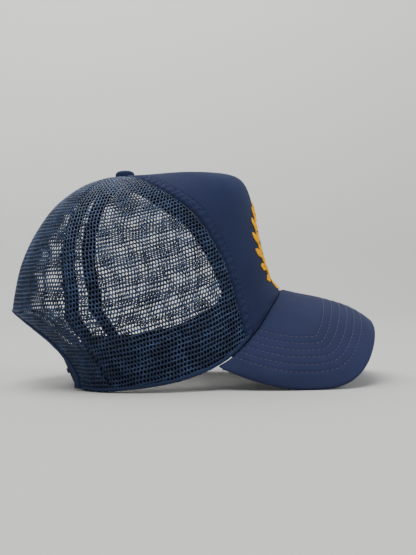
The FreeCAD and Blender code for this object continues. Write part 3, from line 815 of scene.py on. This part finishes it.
def make_tapes():
    for side, sign in SIDES.items():
        front = crown_strip("front_tape_" + side, lambda f: sign * smooth(FRONT_SEAM, f),
                            0.5 * sign, 10 * sign, *TAPE_ENDS, TAPE_DEPTH, TAPE_THICK,
                            material=TAPE_CLOTH, slot="seam_tape", replaced=["front_seam_tape_" + side])
        rear = crown_strip("rear_tape_" + side, lambda f: sign * smooth(REAR_SEAM, f),
                           -10 * sign, 1 * sign, *TAPE_ENDS, TAPE_DEPTH, TAPE_THICK,
                           material=TAPE_CLOTH, slot="seam_tape", replaced=["rear_seam_tape_" + side])
    back = crown_strip("back_tape", lambda f: np.full_like(f, 180.0), -6, 6, TAPE_ENDS[0], 0.69,
                       TAPE_DEPTH, TAPE_THICK, material=TAPE_CLOTH, slot="seam_tape",
                       replaced=["back_seam_tape"])


def make_seam_stitches():
    rows = []
    line = np.linspace(0.05, 0.985, 420)
    back_line = np.linspace(0.05, 0.67, 300)
    for sign in (1, -1):
        for offset in (1.6, 7.6):
            rows.append(crown_path(sign * seam_angle(FRONT_SEAM, line, offset), line, 0.1))
        for offset in (-3.4, 3.4):
            rows.append(crown_path(sign * seam_angle(REAR_SEAM, line, offset), line, 0.1))
        side = 180 - sign * 3.4 / mm_per_degree(np.full_like(back_line, 179.0), back_line)
        rows.append(crown_path(side, back_line, 0.1))
    stitch_rows("net_seam_stitches", rows, 2.4, 0.9, 0.2, material=NAVY_THREAD, slot="mesh")


BAND_END = 143.0
BAND_HEIGHT = 31.5
BAND_STITCH = 4.5


def make_sweatband():
    """Soft folded band with a thin foam filling, curving out to the rim where it is sewn on."""
    turn = np.linspace(-BAND_END, BAND_END, 361)
    section = []
    for distance in np.linspace(BAND_HEIGHT, 0.2, 26):
        section.append((distance, 6.5, 1))
    for bend in np.linspace(0, math.pi, 9)[1:-1]:
        section.append((0.2 - 0.4 * math.sin(bend), 6.5 - 2.4 * (1 - math.cos(bend)), 0))
    for distance in np.linspace(0.2, BAND_HEIGHT, 20):
        pull = 1.9 + 2.9 * ease(distance / 9)
        section.append((distance, pull, 0))
    for bend in np.linspace(0, math.pi, 7)[1:-1]:
        section.append((BAND_HEIGHT + 0.9 * math.sin(bend), 5.65 - 0.85 * math.cos(bend), 0))
    rings = []
    for distance, depth, inner in section:
        plump = inner * 0.5 * math.sin(math.pi * min(max(distance / BAND_HEIGHT, 0), 1)) ** 0.6
        crease = 0.25 * ripple(turn * 1.6, np.full_like(turn, distance), 41, 16)
        groove = inner * 0.7 * math.exp(-((distance - BAND_STITCH) / 0.9) ** 2)
        rings.append(crown(turn, above_rim(turn, distance), depth + plump + crease * (0.4 + inner) - groove))
    grid = np.stack(rings, 0)
    rows, columns = grid.shape[:2]
    faces = grid_faces(rows, columns, close_rows=True)
    faces.append(tuple(j * columns for j in range(rows)))
    faces.append(tuple(j * columns + columns - 1 for j in reversed(range(rows))))
    run = run_along(grid.mean(0)) / MM
    round_it = np.array([distance for distance, _, _ in section])
    uv = np.stack([np.tile(run, rows), np.repeat(round_it, columns)], 1)
    band = new_object("sweatband_cloth", grid.reshape(-1, 3), faces, uv, material=BAND_CLOTH,
                      slot="sweatband", replaced=["sweatband"])

    path = crown(turn, above_rim(turn, BAND_STITCH), 6.45)
    inward = -(on_crown(turn, 0.98, -1.0) - on_crown(turn, 0.98, 0.0))
    stitch_rows("sweatband_stitches", [(path, inward)], 3.2, 1.1, 0.24,
                material=NAVY_THREAD, slot="sweatband")


HEM_SIDES = 10


def make_rim_hem():
    """Turned edge of the net along the rim, from the visor to the rear opening."""
    for side, sign in SIDES.items():
        turn = np.linspace(47.5, 137.5, 241)
        rings = []
        for bend in np.linspace(0, 2 * math.pi, HEM_SIDES, endpoint=False):
            thick = 1.15 + 0.16 * ripple(turn * 1.5, np.full_like(turn, bend), 81, 6)
            distance = 1.5 + thick * 1.25 * math.sin(bend)
            rings.append(crown(sign * turn, above_rim(turn, distance), 0.75 + thick * math.cos(bend)))
        hem = closed_tube("rim_hem_" + side, np.stack(rings, 1), np.arange(HEM_SIDES) * 0.7,
                          material=HEM_CLOTH, slot="mesh")


def round_arch(turn, outside, lowest):
    """Places along the rear opening's edge, at a distance outside it and no lower than lowest."""
    c, s = np.cos(turn), np.sin(turn)
    y = (ARCH_HALF_WIDTH + outside) * np.sign(c) * np.abs(c) ** (2 / ARCH_POWER)
    z = (ARCH_HEIGHT + outside) * np.maximum(s, 0) ** (2 / ARCH_POWER)
    return find_by_yz(y, np.maximum(z, lowest), 180, 0.85)


def make_binding():
    """Doubled net folded round the edge of the rear opening."""
    t = np.linspace(0, math.pi, 181)
    section = rounded_section(-0.4, BINDING_WIDTH + 0.2, -0.75, 1.9, 1.2, 5)
    paths = []
    for w, depth in section:
        angle, fraction = round_arch(t, w, 1.2)
        puff = 0.16 * np.sin(w * 2.6 + 0.6) + 0.12 * ripple(t * 60, np.full_like(t, w), 51, 9)
        paths.append(crown(angle, fraction, depth - puff * (1 if depth < 0.6 else -1)))
    binding = closed_tube("arch_binding", np.stack(paths, 1), section[:, 0], material=BINDING_CLOTH,
                          slot="binding", replaced=["opening_binding"])

    rows = []
    for w in (1.4, 4.8):
        rows.append(crown_path(*round_arch(t, w, 3), -0.75))
    stitch_rows("arch_binding_stitches", rows, 2.5, 0.9, 0.2, material=NAVY_THREAD, slot="binding")


def make_label():
    """Blank folded satin label, sewn in at its top and hanging free below the opening's edge."""
    drop = np.linspace(0, 30, 36)
    half = np.linspace(-13, 13, 31)
    angle = 180 + half[None] / mm_per_degree(np.full(36, 179.0), np.full(36, 0.75))[:, None]
    fraction = 0.685 + drop[:, None] / 209 + 0 * angle
    curl = 9.0 * ease(drop / 30)[:, None] + 0.5 * np.sin(half[None] / 8 + drop[:, None] / 7)
    angle = np.broadcast_to(angle, fraction.shape)
    uv = np.stack([np.broadcast_to(half[None], fraction.shape).ravel(),
                   np.broadcast_to(drop[:, None], fraction.shape).ravel()], 1)
    label = layer_of_cloth("blank_label", angle, fraction, 3.3 + curl * 0.6, 3.9 + curl * 0.6, uv,
                           material=WHITE_SATIN, slot="label", replaced=["inner_label"])


# ---------------------------------------------------------------- visor

VISOR = dict(widest=76.0, end_x=20.0, end_height=14.6, half=80.0, tip=42.5, reach=133.7, joint_end=67.0)
VISOR_CROWN, VISOR_THICK, VISOR_POWER = 5.0, 3.8, 3.2
STITCH_FROM_EDGE = [12.5, 18.2, 23.9, 29.6, 35.3, 41.0]


def evenly(points, count):
    """A line of points spaced evenly along another."""
    run = run_along(points)
    even = np.linspace(0, run[-1], count)
    return np.stack([np.interp(even, run, points[:, k]) for k in range(3)], 1)


def visor_outline(count):
    """The visor's edge from the wearer's right to the left."""
    end_y = RIM["half_width"] - 4.5
    part = np.arange(120) / 120
    y = end_y + (VISOR["half"] - end_y) * (1 - (1 - part) ** 2)
    side = np.stack([VISOR["end_x"] + (VISOR["widest"] - VISOR["end_x"]) * part, y,
                     VISOR["end_height"] * (1 - part) ** 1.8], 1)
    turn = math.pi / 2 * (1 - np.arange(401) / 400)
    y = VISOR["half"] * np.maximum(np.sin(turn), 0) ** (2 / VISOR_POWER)
    ahead = np.maximum(np.cos(turn), 0) ** (2 / VISOR_POWER)
    x = VISOR["widest"] + (VISOR["reach"] - VISOR["widest"]) * ahead
    front = np.stack([x, y, VISOR["tip"] * (1 - (y / VISOR["half"]) ** 2.29)], 1)
    left = np.concatenate([side, front])[::-1]
    right = left[::-1] * (1, -1, 1)
    return evenly(np.concatenate([right, left[1:]]), count)


def visor_surface(columns, across):
    """Points and upward directions of the visor's top surface, rows from the crown to the edge."""
    rim = on_crown(np.linspace(-VISOR["joint_end"], VISOR["joint_end"], 271), np.ones(271), -0.3)
    joint, edge = evenly(rim, columns), visor_outline(columns)
    flat = joint[None] + (edge - joint)[None] * across[:, None, None]
    beside = np.gradient(flat, axis=1)
    up = np.cross((edge - joint)[None], beside)
    up /= np.linalg.norm(up, axis=2)[..., None]
    place = np.linspace(-1, 1, columns)
    height = VISOR_CROWN * (1 - 0.45 * place**2) * (1 - place**8)
    tested = np.linspace(0, 1, 51)
    most = (tested**1.3 * (1 - tested**2.2)).max()
    swell = across**1.3 * (1 - across**2.2) / most
    top = flat + up * (height[None] * swell[:, None])[..., None]
    out, beside = np.gradient(top, axis=0), np.gradient(top, axis=1)
    normal = np.cross(out, beside)
    normal /= np.linalg.norm(normal, axis=2)[..., None]
    return top, normal, joint, edge


def distance_to(points, line):
    """Distance from each point to the nearest part of a line of points."""
    flat = points.reshape(-1, 3)
    least = np.full(len(flat), 1e9)
    for a, b in zip(line[:-1], line[1:]):
        run = b - a
        t = np.clip((flat - a) @ run / (run @ run), 0, 1)
        least = np.minimum(least, np.linalg.norm(flat - (a + t[:, None] * run), axis=1))
    return least.reshape(points.shape[:-1])


def visor_relief(from_edge, from_joint, along, middle):
    """How far in the visor's cloth lies, from its stitched channels and its turned rear edge."""
    relief = 1.3 * (1 - ease(from_joint / 3.0)) * middle
    for k, level in enumerate(STITCH_FROM_EDGE):
        groove = np.exp(-((from_edge - level) / 0.85) ** 2)
        relief = relief + 0.42 * groove
        pucker = np.sin(2 * math.pi * along / 3.6 + k * 1.7 + 1.2 * ripple(along, from_edge, 60 + k, 18))
        relief = relief + 0.085 * pucker * np.exp(-((from_edge - level - 0.6) / 2.2) ** 2)
    return relief + 0.10 * ripple(along, from_edge, 71, 30)


def make_visor():
    columns = 301
    across = np.concatenate([np.linspace(0, 0.1, 13)[:-1], np.linspace(0.1, 1, 100)])
    top, normal, joint, edge = visor_surface(columns, across)
    from_edge, from_joint = distance_to(top, edge[::2]), distance_to(top, joint[::2])
    run = run_along(edge)
    along = np.broadcast_to((run - run[-1] / 2)[None], from_edge.shape)
    middle = 1 - np.linspace(-1, 1, columns)[None] ** 8
    relief = visor_relief(from_edge, from_joint, along, middle)
    round_edge = VISOR_THICK / 2 * (1 - np.sqrt(np.clip(1 - (1 - np.clip(from_edge / 1.7, 0, 1)) ** 2, 0, 1)))
    upper = top - normal * (relief + round_edge)[..., None]
    lower = top - normal * (VISOR_THICK - relief * 0.8 - round_edge)[..., None]
    grid = np.concatenate([upper, lower[::-1][1:]])
    rows = len(grid)
    side = np.concatenate([from_edge, -from_edge[::-1][1:]])
    uv = np.stack([np.broadcast_to(along[:1], (rows, columns)).ravel(), side.ravel()], 1)
    faces = grid_faces(rows, columns, close_rows=True)
    faces.append(tuple(j * columns for j in range(rows)))
    faces.append(tuple(j * columns + columns - 1 for j in reversed(range(rows))))
    visor = new_object("visor_cloth_shell", (grid.reshape(-1, 3) + SHIFT) * MM, faces, uv,
                       material=VISOR_CLOTH, slot="visor_cloth",
                       replaced=["visor_top_cover", "visor_board", "visor_bottom_cover"])
    make_visor_stitches(top, normal, from_edge, relief)


def make_visor_stitches(top, normal, from_edge, relief):
    rows = []
    for level in STITCH_FROM_EDGE:
        for under in (False, True):
            surface = top - normal * (VISOR_THICK - relief * 0.8 if under else relief)[..., None]
            facing = -normal if under else normal
            path, outward = [], []
            for i in range(top.shape[1]):
                inside = np.nonzero((from_edge[:-1, i] >= level) & (from_edge[1:, i] < level))[0]
                if len(inside):
                    j = inside[-1]
                    t = (from_edge[j, i] - level) / (from_edge[j, i] - from_edge[j + 1, i])
                    path.append(surface[j, i] * (1 - t) + surface[j + 1, i] * t)
                    outward.append(facing[j, i])
            rows.append(((np.array(path) + SHIFT) * MM, np.array(outward)))
    stitch_rows("visor_stitches", rows, 2.75, 0.85, 0.25, material=VISOR_THREAD, slot="visor_cloth")


# ---------------------------------------------------------------- emblem, button, straps

WREATH = dict(middle=102.0, radius_y=26.0, radius_z=27.5, leaf=14.0, leaf_width=5.8, pairs=8)


def wreath_leaves():
    """Base, direction and length of every leaf, in side and height millimetres."""
    leaves = []
    for sign in (1, -1):
        for k in range(WREATH["pairs"]):
            turn = math.radians(-84 + k * (146 / (WREATH["pairs"] - 1)))
            base = np.array([sign * WREATH["radius_y"] * math.cos(turn), WREATH["radius_z"] * math.sin(turn)])
            along = np.array([-sign * math.sin(turn), math.cos(turn)])
            out = np.array([sign * math.cos(turn), math.sin(turn)])
            size = 1 - 0.25 * k / WREATH["pairs"]
            for splay in (0.62, -0.62):
                heading = along * math.cos(splay) + out * math.sin(splay)
                leaves.append((base, heading, WREATH["leaf"] * size, WREATH["leaf_width"] * size))
        turn = math.radians(66)
        base = np.array([sign * WREATH["radius_y"] * math.cos(turn), WREATH["radius_z"] * math.sin(turn)])
        leaves.append((base, np.array([-sign * math.sin(turn), math.cos(turn)]), 9.5, 4.0))
    return leaves


def on_front(y, z, lift):
    """Points and outward directions on the front panel at side and height values in millimetres."""
    angle, fraction = find_by_yz(y, z, 0.0, 0.6)
    outward = on_crown(angle, fraction, -1.0) - on_crown(angle, fraction, 0.0)
    return crown(angle, fraction, -lift), outward


def satin_leaf(base, heading, length, width):
    """Slanted threads of one embroidered leaf, each running from the vein to the leaf's edge."""
    side = np.array([-heading[1], heading[0]])
    threads = 22
    step = np.linspace(0.02, 0.98, threads)
    part = np.linspace(0, 1, 7)
    paths, lifts = [], []
    for sense in (1, -1):
        reach = width / 2 * np.sin(math.pi * step**0.8) ** 0.85
        slant = 0.22 * length * (1 - 0.5 * step)
        x = step[:, None] * length * 0.86 + slant[:, None] * part[None] * (reach / (width / 2))[:, None]
        y = sense * part[None] * reach[:, None]
        paths.append(base[None, None] + heading * x[..., None] + side * y[..., None])
        swell = np.sin(math.pi * np.clip(part * 0.8 + 0.12, 0, 1)) ** 0.6
        lifts.append(0.15 + 0.95 * swell[None] * (0.35 + 0.65 * (reach / (width / 2)))[:, None])
    return np.concatenate(paths), np.concatenate(lifts)


def make_emblem():
    """Wreath of satin leaves on two stems."""
    paths, lifts = [], []
    for leaf in wreath_leaves():
        made = satin_leaf(*leaf)
        paths.append(made[0])
        lifts.append(made[1])
    turn, part = np.radians(np.linspace(-92, 66, 90)), np.linspace(-1, 1, 7)
    for sign in (1, -1):
        out = np.stack([sign * np.cos(turn), np.sin(turn)], 1)
        middle = out * (WREATH["radius_y"], WREATH["radius_z"])
        along = np.stack([-sign * np.sin(turn), np.cos(turn)], 1)
        path = (middle[:, None] + out[:, None] * part[None, :, None] * 0.85
                + along[:, None] * part[None, :, None] * 0.9)
        paths.append(path)
        lifts.append(np.broadcast_to(0.25 + 0.75 * np.cos(part * 1.35)[None], path.shape[:2]))
    flat, lift = np.concatenate(paths), np.concatenate(lifts)
    points, outward = on_front(flat[..., 0], flat[..., 1] + WREATH["middle"], lift)
    thread = np.array([0.16, 0.3, 0.32, 0.32, 0.32, 0.3, 0.16]) * MM
    tubes("wreath_embroidery", points, outward, thread, material=GOLD_THREAD, slot="emblem_thread",
          replaced=["emblem"], flatten=0.8)


def make_button():
    """Cloth drawn over the dome, gathered under its edge."""
    base, radius, rise = 156.3, 7.1, 4.2
    profile = [(0.0, rise)]
    for bend in np.linspace(0, 1, 14)[1:]:
        turn = bend * math.pi / 2
        profile.append((radius * math.sin(turn) ** 0.8, rise * math.cos(turn) ** 0.62))
    profile += [(radius + 0.15, -0.35), (radius - 0.5, -0.8), (radius - 2.4, -0.7)]
    sides = 120
    turn = np.linspace(0, 2 * math.pi, sides, endpoint=False)
    rng = np.random.default_rng(5)
    phase = rng.uniform(0, 6.3)
    rings = []
    for out, height in profile:
        fold = 0.16 * (out / radius) ** 6 * (np.sin(turn * 17 + phase) + 0.5 * np.sin(turn * 29))
        r = out + fold
        rings.append(np.stack([-APEX_BACK + r * np.cos(turn), r * np.sin(turn),
                               np.full(sides, base + height)], 1))
    points = (np.concatenate(rings) + SHIFT) * MM
    rows = len(rings)
    faces = grid_faces(rows, sides, close_columns=True)
    inner = [k + rows * sides for k in range(sides)]
    under = rings[-1] * (1, 1, 1) + (0, 0, 0.8)
    points = np.concatenate([points, (under + SHIFT) * MM])
    faces += [((rows - 1) * sides + k, (rows - 1) * sides + (k + 1) % sides, inner[(k + 1) % sides], inner[k])
              for k in range(sides)]
    faces.append(tuple(inner))
    uv = np.stack([(points[:, 0] / MM), (points[:, 1] / MM)], 1)
    new_object("button_cloth_dome", points, faces, uv, material=BUTTON_CLOTH, slot="button_cloth",
               replaced=["button_cover"])


def paint_cad_parts():
    for name, material in (("button_shell", BUTTON_STEEL), ("button_stud", BUTTON_STEEL),
                           ("button_washer", BUTTON_STEEL), ("strap_root_right", SNAP_PLASTIC),
                           ("strap_root_left", SNAP_PLASTIC), ("snap_strap_holes", SNAP_PLASTIC),
                           ("snap_strap_pegs", SNAP_PLASTIC)):
        piece = bpy.data.objects[name]
        piece.data.materials.clear()
        piece.data.materials.append(material)


# ---------------------------------------------------------------- floor, light and camera

def make_stage():
    """Pale floor that curves up into the backdrop; the backdrop's colour is painted lighter with height, as
    painted light.
    """
    n = Nodes("pale_paper")
    split = n.add("SeparateXYZ", _0=n.object_place())
    # Painted light: the colour ramps from the floor's grey to a near white going up the backdrop.
    height = n.math("MULTIPLY_ADD", n.noise(3, 2), 0.05, split.outputs[2])
    colour = n.colours(height, (0.520, 0.520, 0.510), (0.88, 0.875, 0.85), (0.15, 0.95))
    paper = n.finish(colour, 0.9, n.noise(700, 2), 0.02, Specular_IOR_Level=0.2)
    profile = [(-2.5, 0.0), (-0.5, 0.0), (1.1, 0.0)]
    bend = 0.9
    for k in range(1, 25):
        turn = math.pi / 2 * k / 24
        profile.append((1.1 + bend * math.sin(turn), bend * (1 - math.cos(turn))))
    profile.append((1.1 + bend, 3.5))
    width = np.linspace(-4, 4, 9)
    points = [(x, y, z) for y, z in profile for x in width]
    floor = new_object("floor_sweep", points, grid_faces(len(profile), 9), None, material=paper, body=None)


def area_light(name, place, target, size, power, colour=(1, 1, 1)):
    light = bpy.data.lights.new(name, "AREA")
    light.shape, light.size, light.energy, light.color = "DISK", size, power, colour
    lamp = bpy.data.objects.new(name, light)
    bpy.context.scene.collection.objects.link(lamp)
    lamp.location = place
    lamp.rotation_euler = (Vector(target) - Vector(place)).to_track_quat("-Z", "Y").to_euler()
    return lamp


def make_lights():
    target = (0, 0, 0.08)
    area_light("key_light", (-0.4, -1.0, 2.1), target, 1.4, 46, (1, 0.985, 0.965))
    area_light("side_light", (1.7, -0.7, 1.0), target, 1.2, 20, (0.96, 0.98, 1))
    area_light("back_light", (-0.9, 1.0, 1.7), (0, 0.2, 0.1), 1.4, 20)
    area_light("backdrop_light", (0, 0.5, 2.4), (0, 2.0, 1.0), 1.6, 22)
    world = bpy.data.worlds.new("soft_room")
    world.use_nodes = True
    shade = world.node_tree.nodes["Background"]
    shade.inputs["Color"].default_value = (0.95, 0.97, 1.0, 1)
    shade.inputs["Strength"].default_value = 0.34
    bpy.context.scene.world = world


CAMERA = dict(x=0.01316, distance=0.800, height=0.0840, lens=68.3, shift_y=-0.0135, roll=-1.3)


def make_camera():
    data = bpy.data.cameras.new("photo_camera")
    data.sensor_width, data.sensor_fit = 36, "AUTO"
    data.lens, data.shift_y = CAMERA["lens"], CAMERA["shift_y"]
    data.clip_start, data.clip_end = 0.05, 20
    camera = bpy.data.objects.new("photo_camera", data)
    bpy.context.scene.collection.objects.link(camera)
    camera.location = (CAMERA["x"], -CAMERA["distance"], CAMERA["height"])
    turn = Matrix.Rotation(math.radians(90), 4, "X") @ Matrix.Rotation(math.radians(CAMERA["roll"]), 4, "Z")
    camera.rotation_euler = turn.to_euler()
    bpy.context.scene.camera = camera


make_front_panel()
make_front_foam()
make_nets()
make_tapes()
make_seam_stitches()
make_sweatband()
make_rim_hem()
make_binding()
make_label()
make_visor()
make_emblem()
make_button()
paint_cad_parts()
make_stage()
make_lights()
make_camera()
